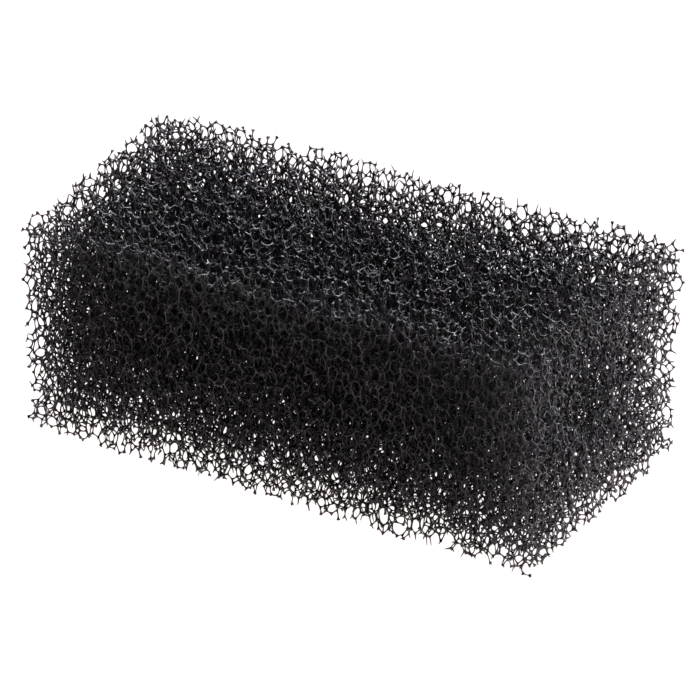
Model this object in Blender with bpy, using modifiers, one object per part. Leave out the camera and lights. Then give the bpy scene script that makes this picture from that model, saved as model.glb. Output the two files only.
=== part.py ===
"""Sponge filter: one block of coarse open-cell foam that pushes onto a filter or pump intake.

The whole filter is one piece of foam, cut square from a thick sheet. A slit runs into the end
at +X and bulges open around the intake tube, so its mouth is a pointed oval.

Frame: metres, +X along the block towards the slit's mouth, +Y across it, +Z up. The origin is
at the middle of the bottom face. The open-cell skeleton itself isn't modelled here: this is the
solid that the foam fills.
"""

import math

import bmesh
import bpy

# Driving dimensions, in metres
BLOCK_LENGTH = 0.125
BLOCK_WIDTH = 0.060
BLOCK_HEIGHT = 0.050
EDGE_ROUNDING = 0.0015       # the knife leaves the arrises slightly worn

SLIT_DEPTH = 0.040           # from the mouth in the +X end
SLIT_HEIGHT = 0.028          # between the two points of the oval
SLIT_OPENING = 0.012         # across the middle of the oval
SLIT_SIDEWAYS = -0.0045      # the oval's middle from the middle of the end face
SLIT_CENTRE_HEIGHT = 0.031   # the oval's middle above the bottom face

# How finely round shapes are divided
EDGE_SEGMENTS = 3
ARC_STEPS = 12               # along each side of the oval
CUTTER_OVERRUN = 0.005       # how far the cutter sticks out of the mouth

FOAM_COLOUR = (0.014, 0.014, 0.016, 1.0)
FOAM_ROUGHNESS = 0.62


def clear_scene():
    for thing in list(bpy.data.objects):
        bpy.data.objects.remove(thing, do_unlink=True)


def new_collection(name):
    group = bpy.data.collections.new(name)
    bpy.context.scene.collection.children.link(group)
    return group


def move_to(thing, group):
    for old in list(thing.users_collection):
        old.objects.unlink(thing)
    group.objects.link(thing)


def foam_material():
    material = bpy.data.materials.new("filter_foam")
    material.use_nodes = True
    shader = material.node_tree.nodes["Principled BSDF"]
    shader.inputs["Base Color"].default_value = FOAM_COLOUR
    shader.inputs["Roughness"].default_value = FOAM_ROUGHNESS
    shader.inputs["Metallic"].default_value = 0.0
    return material


def make_block(group):
    """The cut block, standing on z = 0, with its edges slightly rounded."""
    bpy.ops.mesh.primitive_cube_add(size=1.0, location=(0.0, 0.0, BLOCK_HEIGHT / 2))
    block = bpy.context.active_object
    block.name = "foam_block"
    block.scale = (BLOCK_LENGTH, BLOCK_WIDTH, BLOCK_HEIGHT)
    bpy.ops.object.transform_apply(location=False, rotation=False, scale=True)
    move_to(block, group)

    rounding = block.modifiers.new("worn_edges", "BEVEL")
    rounding.width = EDGE_ROUNDING
    rounding.segments = EDGE_SEGMENTS
    rounding.limit_method = "ANGLE"
    block.data.materials.append(foam_material())
    return block


def oval_outline():
    """The pointed oval between two equal arcs that meet at its top and bottom points."""
    half_height = SLIT_HEIGHT / 2
    half_opening = SLIT_OPENING / 2
    radius = (half_opening**2 + half_height**2) / (2 * half_opening)
    arc_centre = radius - half_opening
    half_angle = math.asin(half_height / radius)
    outline = []
    for side in (1, -1):
        for step in range(ARC_STEPS):
            angle = half_angle * (2 * step / ARC_STEPS - 1)
            across = side * (radius * math.cos(angle) - arc_centre)
            outline.append((across, side * radius * math.sin(angle)))
    return outline


def make_slit_cutter(group):
    """The space that the slit opens: the oval, drawn along X from inside the block to past its end."""
    length = SLIT_DEPTH + CUTTER_OVERRUN
    inner_end = BLOCK_LENGTH / 2 - SLIT_DEPTH

    shape = bmesh.new()
    corners = [shape.verts.new((0.0, y, z)) for y, z in oval_outline()]
    cap = shape.faces.new(corners)
    drawn = bmesh.ops.extrude_face_region(shape, geom=[cap])
    moved = [part for part in drawn["geom"] if isinstance(part, bmesh.types.BMVert)]
    bmesh.ops.translate(shape, verts=moved, vec=(length, 0.0, 0.0))
    bmesh.ops.recalc_face_normals(shape, faces=shape.faces)
    mesh = bpy.data.meshes.new("slit_cutter")
    shape.to_mesh(mesh)
    shape.free()

    cutter = bpy.data.objects.new("slit_cutter", mesh)
    cutter.location = (inner_end, SLIT_SIDEWAYS, SLIT_CENTRE_HEIGHT)
    cutter.hide_render = True
    cutter.display_type = "WIRE"
    group.objects.link(cutter)
    return cutter


def cut(block, cutter):
    slit = block.modifiers.new("slit", "BOOLEAN")
    slit.operation = "DIFFERENCE"
    slit.solver = "EXACT"
    slit.object = cutter


def main():
    clear_scene()
    parts = new_collection("sponge_filter")
    cutters = new_collection("cutters")
    block = make_block(parts)
    cut(block, make_slit_cutter(cutters))


main()
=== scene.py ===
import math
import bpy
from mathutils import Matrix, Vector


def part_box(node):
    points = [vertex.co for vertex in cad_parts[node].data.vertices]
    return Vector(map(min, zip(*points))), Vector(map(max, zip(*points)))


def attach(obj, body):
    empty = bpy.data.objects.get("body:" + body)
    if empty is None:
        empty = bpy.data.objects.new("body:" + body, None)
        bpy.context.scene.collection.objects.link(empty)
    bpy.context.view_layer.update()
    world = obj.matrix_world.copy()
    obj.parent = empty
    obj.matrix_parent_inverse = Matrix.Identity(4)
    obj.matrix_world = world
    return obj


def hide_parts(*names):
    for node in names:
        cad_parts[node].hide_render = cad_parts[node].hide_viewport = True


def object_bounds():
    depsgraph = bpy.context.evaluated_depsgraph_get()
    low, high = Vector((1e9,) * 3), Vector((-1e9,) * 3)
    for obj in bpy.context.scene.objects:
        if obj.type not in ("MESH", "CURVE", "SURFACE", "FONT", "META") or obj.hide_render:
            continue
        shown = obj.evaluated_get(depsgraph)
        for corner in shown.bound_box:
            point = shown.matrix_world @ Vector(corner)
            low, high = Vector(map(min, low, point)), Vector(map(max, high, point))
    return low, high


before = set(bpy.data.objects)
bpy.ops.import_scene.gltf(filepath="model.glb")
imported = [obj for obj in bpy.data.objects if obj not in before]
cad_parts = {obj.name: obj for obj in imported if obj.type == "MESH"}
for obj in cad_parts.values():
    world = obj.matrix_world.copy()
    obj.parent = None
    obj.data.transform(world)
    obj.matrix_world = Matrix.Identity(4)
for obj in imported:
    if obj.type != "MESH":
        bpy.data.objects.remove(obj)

# A block of black reticulated foam. The foam is made the way the real one forms: bubbles are packed into a
# volume larger than the block, the cells round them meet in strands and nodes, the strands are drawn even
# and curved, and the block is then cut out of that network with the CAD solid, so its outside and its slit
# are cut foam. Strands are thin, three-sided and thickest at their nodes, and those that the cut went through
# end in short stubs.
#
# A node is where four cells meet, and a strand is where three do, so a node is named by its four bubbles and
# a strand by its three. A window is the opening between two cells.

from types import SimpleNamespace

import bpy
import numpy as np
from mathutils import Quaternion, Vector
from mathutils.bvhtree import BVHTree
from mathutils.kdtree import KDTree

cad_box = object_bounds()
RNG = np.random.default_rng(20)

# The foam, in metres
CELL_SIZE = 0.00345         # the cube root of a cell's volume
RISE_STRETCH = 1.55         # the cells are this many times as tall as wide, as the foam rose that way
STRAND_RADIUS = 0.000154    # from the middle of a strand's triangular section to its corners, between nodes
NODE_RADIUS = 0.000198      # the same where a strand runs into a node
TIP_RADIUS_SHARE = 0.65     # the same at a cut strand's tip, as a share of the strand's
NODE_REACH = 0.00034        # from a node's middle to where its strands begin
NODE_SHARE = 0.34           # but at most this share of a strand's length
NODE_HOLLOW = 0.55          # how far the faces of a node stay from its middle: 1 is flat, 0 is gone
STRAND_SPREAD = 0.15        # strands differ in thickness by up to this share
ROUNDING = 0.85             # 0 leaves a strand straight, 1 has strands leave each node evenly spread
WANDER = 0.00005            # how far the middle of a strand strays

# How the cells form
BUBBLE_MARGIN = 2 * CELL_SIZE    # bubbles are packed this far past the block
CELL_MARGIN = CELL_SIZE          # and those within this distance of it get a cell
PACKING_STEPS = 5
PACKING_NEIGHBOURS = 13
PACKING_GAP = 1.12 * CELL_SIZE   # bubbles closer together than this push each other apart
PACKING_PUSH = 0.32              # by this share of what they lack, in each step
START_REACH = 2.5 * CELL_SIZE    # a cell starts as a box that reaches this far from its bubble
CUTTING_NEIGHBOURS = 44          # and is cut by the planes half-way to this many neighbours
EVENING_STEPS = 40
EVENING_LENGTH = 0.75            # strands tend to this share of their usual length
EVENING_PULL = 0.10              # and each step moves a node by this share of what its strands lack

# How the block is cut
CUT_TRIM = (-0.00120, 0.00120)   # how deep in the block a cell's nodes must lie to be kept, drawn for each
CUT_LIMIT = -0.00030             # no node further out than this is kept
CUT_STUB = (-0.00070, 0.00045)   # how far outside the block a cut strand ends, drawn for each
SHORTEST_STUB = 1.3              # but it ends at least this many times as far from its node as it begins
END_LEAN = 0.0008           # how far the top and the back of the slit's end stand out
BACK_END_SHIFT = 0.0004     # how far the other end stands out
BACK_END_LEAN = 0.0013      # and how much further its back edge does than its middle
TAPER_ALONG = 0.0115        # how much taller the slit's end is than the middle, as a share of the height
TAPER_ACROSS = 0.016        # the same for the back
PIECES = 18                 # the block is made in this many lengths, for the sake of mesh size

# The foam's material
TINTS = [(0.34, (0.025, 0.016, 0.022, 1)),    # black with a purple cast, neutral black and brownish black,
         (0.46, (0.016, 0.015, 0.018, 1)),    # and where each lies in the range of the noise
         (0.68, (0.030, 0.026, 0.024, 1))]
PATCHES_PER_METRE = 130
PATCH_DETAIL = 3
GRAIN_PER_METRE = 2600
GRAIN_DETAIL = 4
NOISE_RANGE = (0.3, 0.7)    # nearly all of the noise lies between these
ROUGHNESS = (0.28, 0.42)
SPECULAR_LEVEL = 0.4
BUMP_STRENGTH = 0.15
BUMP_HEIGHT = 0.00003

# The studio, in metres and watts
SURFACE_COLOUR = (0.05, 0.05, 0.05, 1)
SURFACE_ROUGHNESS = 0.9
GLOW_COLOUR = (1.06, 0.985, 0.975, 1)
GLOW_STRENGTH = 1.10
BACKDROP_RADIUS = 5
WORLD_STRENGTH = 0.05
BACK_LIGHT = dict(place=(-0.25, 1.0, 0.62), aim=(0, 0, 0.03), size=(2.4, 1.2), watts=88.0,
                  colour=(0.90, 0.90, 1.0))
SIDE_LIGHT = dict(place=(0.50, 0.06, 0.16), aim=(0.06, 0, 0.03), size=(0.25, 0.20), watts=4.6,
                  colour=(0.94, 0.94, 1.0))

# The camera, in degrees, metres and millimetres of lens
TURN = 31.2                 # round from the block's front towards the slit's end
RISE = 29.25
TILT = -0.43
DISTANCE = 1.10
AIM_RIGHT = 0.0007          # how far to the right of the block's middle the camera aims
AIM_DOWN = 0.0029           # and how far below it, both as the camera sees them
LENS = 270

TETRAHEDRON = np.array([[1, 1, 1], [1, -1, -1], [-1, 1, -1], [-1, -1, 1]]) / math.sqrt(3)
OTHER_THREE = np.array([[1, 2, 3], [0, 2, 3], [0, 1, 3], [0, 1, 2]])


def length_of(vectors):
    """Each vector's length, in an axis of its own so that it divides them."""
    return np.linalg.norm(vectors, axis=-1, keepdims=True)


def unit(vectors):
    return vectors / np.maximum(length_of(vectors), 1e-12)


def nearest(points, count, wanted=None):
    """For each wanted point, the numbers of the points nearest to it."""
    tree = KDTree(len(points))
    for k, point in enumerate(points):
        tree.insert(point, k)
    tree.balance()
    asked = range(len(points)) if wanted is None else wanted
    return np.array([[hit[1] for hit in tree.find_n(points[k], count + 1)][1:] for k in asked])


def pack_bubbles(low, high):
    """Bubble middles that fill a box evenly but in no order: random points that push each other apart."""
    middles = low + RNG.random((int(np.prod(high - low) / CELL_SIZE**3), 3)) * (high - low)
    for _ in range(PACKING_STEPS):
        apart = middles[:, None] - middles[nearest(middles, PACKING_NEIGHBOURS)]
        gap = length_of(apart)
        push = apart * np.maximum(PACKING_GAP - gap, 0) / gap
        middles = np.clip(middles + PACKING_PUSH * push.sum(axis=1), low, high)
    return middles


def meet(plane, offset, cell, three):
    """Where three planes of a cell meet, measured from the cell's bubble."""
    n = [plane[cell, three[:, k]] for k in range(3)]
    d = [offset[cell, three[:, k]][:, None] for k in range(3)]
    bc, ca, ab = np.cross(n[1], n[2]), np.cross(n[2], n[0]), np.cross(n[0], n[1])
    return (d[0] * bc + d[1] * ca + d[2] * ab) / (n[0] * bc).sum(axis=1, keepdims=True)


def cell_corners(bubbles, cells):
    """Every corner where four cells meet: the four bubbles in rising order, and the place.

    Each cell starts as a box and is cut by the plane half-way to each neighbouring bubble, nearest first. All
    cells are cut side by side. A corner is held as the three planes that meet there, in the order that faces
    out, and a cut replaces the corners beyond its plane by new ones along the rim of the hole they leave.
    """
    near = nearest(bubbles, CUTTING_NEIGHBOURS, cells)
    sides = np.concatenate([np.eye(3), -np.eye(3)]) * START_REACH
    box = np.tile(sides, (len(cells), 1, 1))
    plane = np.concatenate([box, bubbles[near] - bubbles[cells][:, None]], axis=1)
    offset = 0.5 * (plane**2).sum(axis=2)
    offset[:, :len(sides)] *= 2    # the box's own planes lie at their points, not half-way to them
    count = plane.shape[1]
    box_corners = [(x, y, z) if ((x > 2) + (y > 2) + (z > 2)) % 2 == 0 else (y, x, z)
                   for x in (0, 3) for y in (1, 4) for z in (2, 5)]
    cell = np.repeat(np.arange(len(cells)), len(box_corners))
    three = np.tile(np.array(box_corners), (len(cells), 1))
    place = meet(plane, offset, cell, three)
    for new in range(len(sides), count):
        beyond = (plane[cell, new] * place).sum(axis=1) > offset[cell, new]
        if not beyond.any():
            continue
        lost, owner = three[beyond], np.tile(cell[beyond], 3)
        one = np.concatenate([lost[:, 0], lost[:, 1], lost[:, 2]])
        two = np.concatenate([lost[:, 1], lost[:, 2], lost[:, 0]])
        rim = ~np.isin((owner * count + two) * count + one, (owner * count + one) * count + two)
        fresh = np.stack([one[rim], two[rim], np.full(rim.sum(), new)], axis=1)
        cell = np.concatenate([cell[~beyond], owner[rim]])
        three = np.concatenate([three[~beyond], fresh])
        place = np.concatenate([place[~beyond], meet(plane, offset, owner[rim], fresh)])
    real = (three >= len(sides)).all(axis=1)
    cell, three, place = cell[real], three[real], place[real]
    four = np.concatenate([cells[cell][:, None], near[cell[:, None], three - len(sides)]], axis=1)
    four = np.sort(four, axis=1)
    four, one = np.unique(four, axis=0, return_index=True)
    return four, place[one] + bubbles[cells[cell[one]]]


def handedness(four, bubbles):
    """1 or -1 for each node: which way round its four bubbles lie."""
    a, b, c, d = (bubbles[four[:, k]] for k in range(4))
    return np.sign((np.cross(b - a, c - a) * (d - a)).sum(axis=1))


def join_strands(four, bubbles):
    """Pairs the nodes that a strand joins, which share three bubbles.

    Strand m of a node is the one round which the node's bubble m isn't. Returns each strand's two nodes, its
    three bubbles, which run anticlockwise round it in rising order, the strand's number for each node and m,
    or -1 where no other node has its three bubbles, and whether the node is that strand's second end.
    """
    count = len(bubbles)
    is_second = handedness(four, bubbles)[:, None] * np.array([-1, 1, -1, 1]) > 0
    trios = four[:, OTHER_THREE]
    key = ((trios[..., 0] * count + trios[..., 1]) * count + trios[..., 2]).ravel()
    _, which, times = np.unique(key, return_inverse=True, return_counts=True)
    order = np.argsort(key, kind="stable")
    one, two = order[times[which][order] == 2].reshape(-1, 2).T
    right = is_second.ravel()[one] != is_second.ravel()[two]
    one, two = one[right], two[right]
    swap = is_second.ravel()[one]
    first, second = np.where(swap, two, one), np.where(swap, one, two)
    strand_at = np.full(key.shape, -1)
    strand_at[first] = strand_at[second] = np.arange(len(first))
    ends = np.stack([first // 4, second // 4], axis=1)
    return ends, trios.reshape(-1, 3)[first], strand_at.reshape(-1, 4), is_second


def even_out(nodes, ends):
    """Pulls long strands shorter and pushes short ones longer, as surface tension does before a foam sets."""
    count = len(nodes)
    free = np.bincount(ends.ravel(), minlength=count) == 4
    usual = length_of(nodes[ends[:, 1]] - nodes[ends[:, 0]]).mean()
    for _ in range(EVENING_STEPS):
        along = nodes[ends[:, 1]] - nodes[ends[:, 0]]
        long = length_of(along)
        pull = along / long * (long - EVENING_LENGTH * usual)
        move = np.stack([np.bincount(ends[:, 0], pull[:, axis], count)
                         - np.bincount(ends[:, 1], pull[:, axis], count) for axis in range(3)], axis=1)
        nodes = nodes + EVENING_PULL * move * free[:, None]
    return nodes


def leaving_ways(nodes, ends, strand_at):
    """The direction in which each strand leaves each of its two nodes.

    The four strands of a real node leave it evenly spread, so each node gets the regular tetrahedron of
    directions that fits its strands best, and a strand curves from one to the other.
    """
    straight = unit(nodes[ends[:, 1]] - nodes[ends[:, 0]])
    ways = np.stack([straight, -straight], axis=1)
    whole = np.flatnonzero((strand_at >= 0).all(axis=1))
    strands = strand_at[whole]
    side = (ends[strands, 1] == whole[:, None]).astype(int)
    actual = ways[strands, side]
    left, _, right = np.linalg.svd(np.swapaxes(actual, 1, 2) @ TETRAHEDRON)
    even = TETRAHEDRON @ np.swapaxes(left @ right, 1, 2)
    ways[strands, side] = unit((1 - ROUNDING) * actual + ROUNDING * even)
    return ways


def grow_network(low, high):
    """The network over a box: bubbles, nodes, each node's four bubbles, the strands and how they leave.

    It grows in a space where its cells are as tall as wide, and is then stretched.
    """
    stretch = np.array([RISE_STRETCH ** (-1 / 3), RISE_STRETCH ** (-1 / 3), RISE_STRETCH ** (2 / 3)])
    low, high = low / stretch, high / stretch
    bubbles = pack_bubbles(low - BUBBLE_MARGIN, high + BUBBLE_MARGIN)
    close = ((bubbles > low - CELL_MARGIN) & (bubbles < high + CELL_MARGIN)).all(axis=1)
    four, nodes = cell_corners(bubbles, np.flatnonzero(close))
    ends, trio, strand_at, is_second = join_strands(four, bubbles)
    nodes = even_out(nodes, ends)
    ways = leaving_ways(nodes, ends, strand_at)
    return SimpleNamespace(bubbles=bubbles, four=four, nodes=nodes * stretch, ends=ends, trio=trio,
                           strand_at=strand_at, is_second=is_second, ways=unit(ways * stretch))


def depth_inside(solid, points):
    """How deep each point lies in the solid, negative outside."""
    depth = np.empty(len(points))
    for k, point in enumerate(points):
        at, normal, _, gap = solid.find_nearest(point)
        depth[k] = gap if (Vector(point) - at).dot(normal) < 0 else -gap
    return depth


def largest_group(kept, ends):
    """The kept nodes that hang together in the largest group."""
    group = np.where(kept, np.arange(len(kept)), -1)
    one, two = ends[kept[ends].all(axis=1)].T
    while True:
        before = group.copy()
        lowest = np.minimum(group[one], group[two])
        np.minimum.at(group, one, lowest)
        np.minimum.at(group, two, lowest)
        if (group == before).all():
            return group == np.bincount(group[group >= 0]).argmax()


def cut_block(net, solid):
    """Says which nodes are kept, and drops the strands that lose both of theirs."""
    trim = RNG.uniform(*CUT_TRIM, len(net.bubbles))
    kept = depth_inside(solid, net.nodes) > np.maximum(trim[net.four].mean(axis=1), CUT_LIMIT)
    net.kept = largest_group(kept & (net.strand_at >= 0).all(axis=1), net.ends)
    used = net.kept[net.ends].any(axis=1)
    net.ends, net.trio, net.ways = net.ends[used], net.trio[used], net.ways[used]
    net.strand_at = (np.cumsum(used) - 1)[net.strand_at]


def window_middles(four, nodes, count):
    """The middle of each window between two cells, and the number that names it."""
    pairs = [(0, 1), (0, 2), (0, 3), (1, 2), (1, 3), (2, 3)]
    key = np.concatenate([four[:, a] * count + four[:, b] for a, b in pairs])
    name, which = np.unique(key, return_inverse=True)
    corners = np.tile(nodes, (6, 1))
    middle = np.stack([np.bincount(which, corners[:, axis]) for axis in range(3)], axis=1)
    return name, middle / np.bincount(which)[:, None]


def windows_round_strands(net):
    """The middles of the three windows that meet along each strand."""
    count = len(net.bubbles)
    name, middle = window_middles(net.four, net.nodes, count)
    return np.stack([middle[np.searchsorted(name, net.trio[:, a] * count + net.trio[:, b])]
                     for a, b in ((0, 1), (1, 2), (0, 2))], axis=1)


def curve(strands, share):
    """Each strand is a cubic curve: its point at this share of the way along, and its direction there."""
    s = share[:, None]
    a, b, out, back = strands
    long = length_of(b - a)
    point = ((1 + 2 * s) * (1 - s) ** 2 * a + s * s * (3 - 2 * s) * b
             + s * (1 - s) ** 2 * long * out + s * s * (1 - s) * long * back)
    way = (6 * s * (s - 1) * (a - b) + (1 - s) * (1 - 3 * s) * long * out + s * (2 - 3 * s) * long * back)
    return point, unit(way)


def ring(strands, share, windows, radius, shift=0):
    """Three points round each strand, with a corner of the section towards each window."""
    at, way = curve(strands, share)
    spoke = windows - at[:, None]
    spoke -= (spoke * way[:, None]).sum(axis=2, keepdims=True) * way[:, None]
    return at[:, None] + shift + unit(spoke) * radius[:, None, None]


def reach_of_cut(solid, strands, from_first):
    """How far along each strand, from the node that is kept, the block's surface is."""
    kept_node = np.where(from_first[:, None], strands[0], strands[1])
    lost_node = np.where(from_first[:, None], strands[1], strands[0])
    reach = np.zeros(len(kept_node))
    for k, (start, end) in enumerate(zip(kept_node, lost_node)):
        way = Vector(end - start)
        hit = solid.ray_cast(Vector(start), way.normalized(), way.length)
        reach[k] = 0 if hit[0] is None else hit[3]
    return reach


def make_rings(net, solid):
    """Four rings of three points round each strand: by its first node, by its second, and two between.

    On a cut strand, the last of these is at its tip, and the one by the node that it lost isn't used.
    """
    strands = (net.nodes[net.ends[:, 0]], net.nodes[net.ends[:, 1]], net.ways[:, 0], net.ways[:, 1])
    long = length_of(strands[1] - strands[0])[:, 0]
    whole = net.kept[net.ends].all(axis=1)
    from_first = net.kept[net.ends[:, 0]]

    # Where the rings are, as shares of the strand's length from its kept node, and then from its first
    reach = np.minimum(NODE_REACH, NODE_SHARE * long)
    cut = reach_of_cut(solid, [part[~whole] for part in strands], from_first[~whole])
    tip = np.full(len(long), np.nan)
    tip[~whole] = cut + RNG.uniform(*CUT_STUB, len(cut))
    tip = np.clip(tip, SHORTEST_STUB * reach, long) / long
    near = reach / long
    third = (1 + near) / 3
    middle, end = np.where(whole, third, 0.5 * (near + tip)), np.where(whole, 1 - third, tip)
    middle, end = np.where(from_first, middle, 1 - middle), np.where(from_first, end, 1 - end)

    # How thick they are: a node that reaches less far is also thinner
    spread = RNG.uniform(1 - STRAND_SPREAD, 1 + STRAND_SPREAD, len(long))
    thin = STRAND_RADIUS * spread
    thick = np.minimum(NODE_RADIUS * spread, 0.9 * reach + 0.1 * NODE_RADIUS)
    stray = RNG.normal(0, WANDER, (len(long), 1, 3))
    windows = windows_round_strands(net)
    return [ring(strands, near, windows, thick),
            ring(strands, 1 - near, windows, thick),
            ring(strands, middle, windows, thin, stray),
            ring(strands, end, windows, np.where(whole, thin, TIP_RADIUS_SHARE * thin), stray)]


class Faces:
    """Quads and triangles, each with the number of the length of the block that it belongs to."""

    def __init__(self):
        self.quads, self.quad_owner, self.tris, self.tri_owner = [], [], [], []

    def tube(self, strands, one, two, owner):
        """Three sides from one ring of each of these strands to another."""
        base = 3 * strands[:, None]
        for k in range(3):
            after = (k + 1) % 3
            self.quads.append(base + np.array([one + k, one + after, two + after, two + k]))
            self.quad_owner.append(owner[strands])

    def cap(self, strands, at, owner, flip):
        """A triangle that closes each of these strands at a ring."""
        self.tris.append(at + 3 * strands[:, None] + np.array([2, 1, 0] if flip else [0, 1, 2]))
        self.tri_owner.append(owner[strands])

    def fan(self, loop, hub, owner):
        """Triangles from each loop of points to its hub."""
        for k in range(loop.shape[1]):
            self.tris.append(np.stack([loop[:, k], loop[:, (k + 1) % loop.shape[1]], hub], axis=1))
            self.tri_owner.append(owner)

    def of_piece(self, number):
        """The quads and the triangles of one length of the block."""
        quads, tris = np.concatenate(self.quads), np.concatenate(self.tris)
        return (quads[np.concatenate(self.quad_owner) == number],
                tris[np.concatenate(self.tri_owner) == number])


def strand_faces(faces, net, length_at, ring_at):
    """Strands as tubes. One that runs into the next length of the block is closed by a cap on either side."""
    first, last, middle, tip = ring_at
    at_first, at_second = net.kept[net.ends].T
    own_first, own_second = length_at[net.ends].T
    whole = np.flatnonzero(at_first & at_second)
    stub_first = np.flatnonzero(at_first & ~at_second)
    stub_second = np.flatnonzero(at_second & ~at_first)
    faces.tube(whole, first, middle, own_first)
    faces.tube(whole, middle, tip, own_first)
    faces.tube(whole, tip, last, own_second)
    faces.tube(stub_first, first, middle, own_first)
    faces.tube(stub_first, middle, tip, own_first)
    faces.cap(stub_first, tip, own_first, False)
    faces.tube(stub_second, middle, last, own_second)
    faces.tube(stub_second, tip, middle, own_second)
    faces.cap(stub_second, tip, own_second, True)
    crossing = whole[own_first[whole] != own_second[whole]]
    faces.cap(crossing, tip, own_first, False)
    faces.cap(crossing, tip, own_second, True)


def node_faces(faces, net, length_at, ring_at, rings):
    """Each node has four six-sided faces, one towards each of its bubbles, pulled in at the middle.

    Returns the middles. The face towards bubble x goes round all of the node's strands but strand x, and
    touches two corners of each one's ring, those towards bubble x's windows.
    """
    first, last = ring_at[:2]
    node = np.flatnonzero(net.kept)
    corner_towards = {(0, 1): 0, (1, 2): 1, (0, 2): 2}
    side = handedness(net.four[node], net.bubbles)
    hubs = []
    for x in range(4):
        y, z, w = [m for m in range(4) if m != x]
        loop = []
        for strand, window in [(w, (x, y)), (w, (x, z)), (y, (x, z)), (y, (x, w)), (z, (x, w)), (z, (x, y))]:
            trio = [m for m in range(4) if m != strand]
            corner = corner_towards[tuple(sorted(trio.index(m) for m in window))]
            ring_start = np.where(net.is_second[node, strand], last, first)
            loop.append(ring_start + 3 * net.strand_at[node, strand] + corner)
        loop = np.stack(loop, axis=1)
        loop = np.where((side * (-1) ** x > 0)[:, None], loop[:, ::-1], loop)
        hubs.append(net.nodes[node] + (rings[loop].mean(axis=1) - net.nodes[node]) * NODE_HOLLOW)
        faces.fan(loop, len(rings) + x * len(node) + np.arange(len(node)), length_at[node])
    return hubs


def out_of_square(points, low, high):
    """Leans and tapers the block a little, as foam cut from a slab by hand is."""
    x, y, z = (2 * (points - low) / (high - low) - 1).T
    lean = 0.5 * (1 + x) * END_LEAN * (y + z) - 0.5 * (1 - x) * (BACK_END_SHIFT + BACK_END_LEAN * y)
    rise = (points[:, 2] - low[2]) * (TAPER_ALONG * x + TAPER_ACROSS * y)
    return points + np.stack([lean, np.zeros(len(points)), rise], axis=1)


def make_foam():
    """The foam's points and its faces."""
    solid = BVHTree.FromObject(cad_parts["foam_block"], bpy.context.evaluated_depsgraph_get())
    low, high = (np.array(corner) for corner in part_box("foam_block"))
    net = grow_network(low, high)
    cut_block(net, solid)
    rings = np.concatenate(make_rings(net, solid)).reshape(-1, 3)
    ring_at = [3 * len(net.ends) * k for k in range(4)]

    # The lengths hold equally many nodes, and a node's own length has the near part of its strands
    marks = np.quantile(net.nodes[net.kept][:, 0], np.linspace(0, 1, PIECES + 1))
    length_at = np.clip(np.searchsorted(marks, net.nodes[:, 0]) - 1, 0, PIECES - 1)
    faces = Faces()
    strand_faces(faces, net, length_at, ring_at)
    hubs = node_faces(faces, net, length_at, ring_at, rings)
    return out_of_square(np.concatenate([rings] + hubs), low, high), faces


def make_mesh(name, points, quads, tris):
    """A mesh of these faces, with only the points that they use."""
    corners = np.concatenate([quads.ravel(), tris.ravel()])
    used, corners = np.unique(corners, return_inverse=True)
    mesh = bpy.data.meshes.new(name)
    mesh.vertices.add(len(used))
    mesh.vertices.foreach_set("co", points[used].astype(np.float32).ravel())
    mesh.loops.add(len(corners))
    mesh.loops.foreach_set("vertex_index", corners.astype(np.int32))
    mesh.polygons.add(len(quads) + len(tris))
    starts = np.concatenate([np.arange(len(quads)) * 4, len(quads) * 4 + np.arange(len(tris)) * 3])
    mesh.polygons.foreach_set("loop_start", starts.astype(np.int32))
    mesh.update(calc_edges=True)
    mesh.shade_smooth()
    return mesh


def noise(nodes, links, coordinates, per_metre, detail):
    """Noise with this many features to the metre."""
    node = nodes.new("ShaderNodeTexNoise")
    node.inputs["Scale"].default_value = per_metre
    node.inputs["Detail"].default_value = detail
    links.new(coordinates, node.inputs["Vector"])
    return node.outputs["Fac"]


def scaled(nodes, links, value, low, high):
    """Noise, spread over the range from low to high."""
    node = nodes.new("ShaderNodeMapRange")
    node.inputs["From Min"].default_value, node.inputs["From Max"].default_value = NOISE_RANGE
    node.inputs["To Min"].default_value = low
    node.inputs["To Max"].default_value = high
    links.new(value, node.inputs["Value"])
    return node.outputs["Result"]


def foam_material():
    """Black polyurethane with a soft sheen, purplish and brownish in patches, finely uneven."""
    material = bpy.data.materials.new("filter_foam")
    material.use_nodes = True
    nodes, links = material.node_tree.nodes, material.node_tree.links
    shader = nodes["Principled BSDF"]
    shader.inputs["Specular IOR Level"].default_value = SPECULAR_LEVEL
    where = nodes.new("ShaderNodeTexCoord").outputs["Object"]
    patches = noise(nodes, links, where, PATCHES_PER_METRE, PATCH_DETAIL)
    grain = noise(nodes, links, where, GRAIN_PER_METRE, GRAIN_DETAIL)

    colour = nodes.new("ShaderNodeValToRGB")
    stops = colour.color_ramp.elements
    for place, tint in TINTS:
        stops.new(place).color = tint
    stops.remove(stops[0])
    stops.remove(stops[-1])
    links.new(patches, colour.inputs["Fac"])
    links.new(colour.outputs["Color"], shader.inputs["Base Color"])

    links.new(scaled(nodes, links, grain, *ROUGHNESS), shader.inputs["Roughness"])
    bump = nodes.new("ShaderNodeBump")
    bump.inputs["Strength"].default_value = BUMP_STRENGTH
    bump.inputs["Distance"].default_value = BUMP_HEIGHT
    links.new(grain, bump.inputs["Height"])
    links.new(bump.outputs["Normal"], shader.inputs["Normal"])
    return material


def make_block():
    """The foam in lengths, each a piece that stands for the CAD block."""
    points, faces = make_foam()
    material = foam_material()
    for k in range(PIECES):
        mesh = make_mesh(f"foam_{k + 1:02d}", points, *faces.of_piece(k))
        mesh.materials.append(material)
        piece = bpy.data.objects.new(mesh.name, mesh)
        bpy.context.scene.collection.objects.link(piece)
        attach(piece, "root")
        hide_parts("foam_block")


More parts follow.
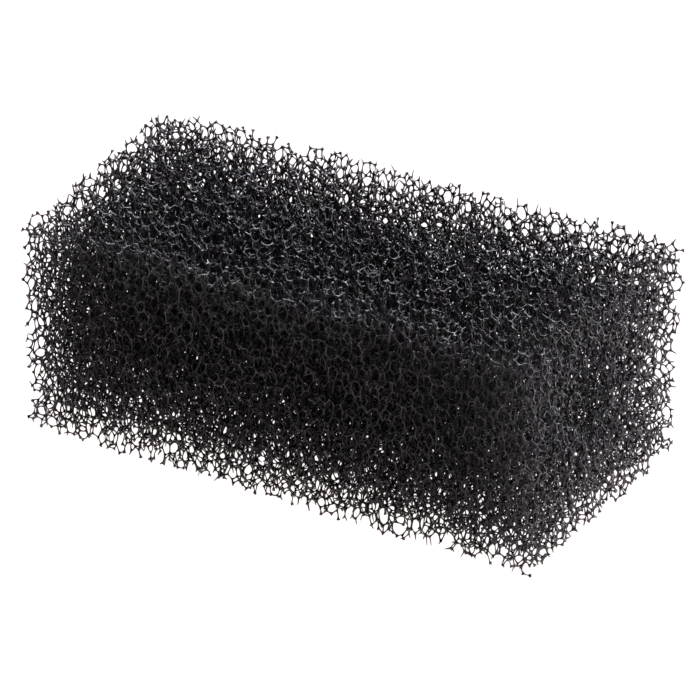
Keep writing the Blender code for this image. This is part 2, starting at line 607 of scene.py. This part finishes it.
def area_light(name, place, aim, size, watts, colour):
    """A rectangular light at a place, turned towards another."""
    data = bpy.data.lights.new(name, "AREA")
    data.shape = "RECTANGLE"
    data.size, data.size_y = size
    data.energy = watts
    data.color = colour
    light = bpy.data.objects.new(name, data)
    light.location = place
    light.rotation_euler = (Vector(place) - Vector(aim)).to_track_quat("Z", "Y").to_euler()
    bpy.context.scene.collection.objects.link(light)


def white_surface():
    """The surface of the floor and backdrop. It shines, so it stays white and lights the foam from below."""
    material = bpy.data.materials.new("white_surface")
    material.use_nodes = True
    shader = material.node_tree.nodes["Principled BSDF"]
    shader.inputs["Base Color"].default_value = SURFACE_COLOUR
    shader.inputs["Roughness"].default_value = SURFACE_ROUGHNESS
    shader.inputs["Specular IOR Level"].default_value = 0
    shader.inputs["Emission Color"].default_value = GLOW_COLOUR
    shader.inputs["Emission Strength"].default_value = GLOW_STRENGTH
    return material


def make_studio():
    """A white floor, a white backdrop that only the camera sees, and soft lights behind and beside."""
    surface = white_surface()
    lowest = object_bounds()[0][2]
    bpy.ops.mesh.primitive_plane_add(size=3 * BACKDROP_RADIUS, location=(0, 0, lowest))
    floor = bpy.context.active_object
    floor.name = "floor"
    bpy.ops.mesh.primitive_uv_sphere_add(segments=64, ring_count=32, radius=BACKDROP_RADIUS)
    backdrop = bpy.context.active_object
    backdrop.name = "backdrop"
    backdrop.visible_diffuse = False
    backdrop.visible_glossy = False
    backdrop.visible_shadow = False
    for part in (floor, backdrop):
        part.data.materials.append(surface)
    world = bpy.data.worlds.new("studio")
    world.use_nodes = True
    world.node_tree.nodes["Background"].inputs["Color"].default_value = (1, 1, 1, 1)
    world.node_tree.nodes["Background"].inputs["Strength"].default_value = WORLD_STRENGTH
    bpy.context.scene.world = world
    area_light("back", **BACK_LIGHT)
    area_light("side", **SIDE_LIGHT)
    bpy.context.scene.view_settings.view_transform = "Standard"


def make_camera():
    """Looks down at the block from its front, turned towards the slit's end."""
    turn, rise = math.radians(TURN), math.radians(RISE)
    back = Vector((math.sin(turn) * math.cos(rise), -math.cos(turn) * math.cos(rise), math.sin(rise)))
    right = Vector((math.cos(turn), math.sin(turn), 0))
    middle = (Vector(cad_box[0]) + Vector(cad_box[1])) / 2
    aim = middle + right * AIM_RIGHT - back.cross(right) * AIM_DOWN
    data = bpy.data.cameras.new("camera")
    data.lens = LENS
    camera = bpy.data.objects.new("camera", data)
    camera.location = aim + back * DISTANCE
    tilt = Quaternion((0, 0, 1), math.radians(TILT))
    camera.rotation_euler = (back.to_track_quat("Z", "Y") @ tilt).to_euler()
    bpy.context.scene.collection.objects.link(camera)
    bpy.context.scene.camera = camera


for start_up in ("Cube", "Light", "Camera"):
    if start_up in bpy.data.objects:
        bpy.data.objects.remove(bpy.data.objects[start_up])
make_block()
make_studio()
make_camera()
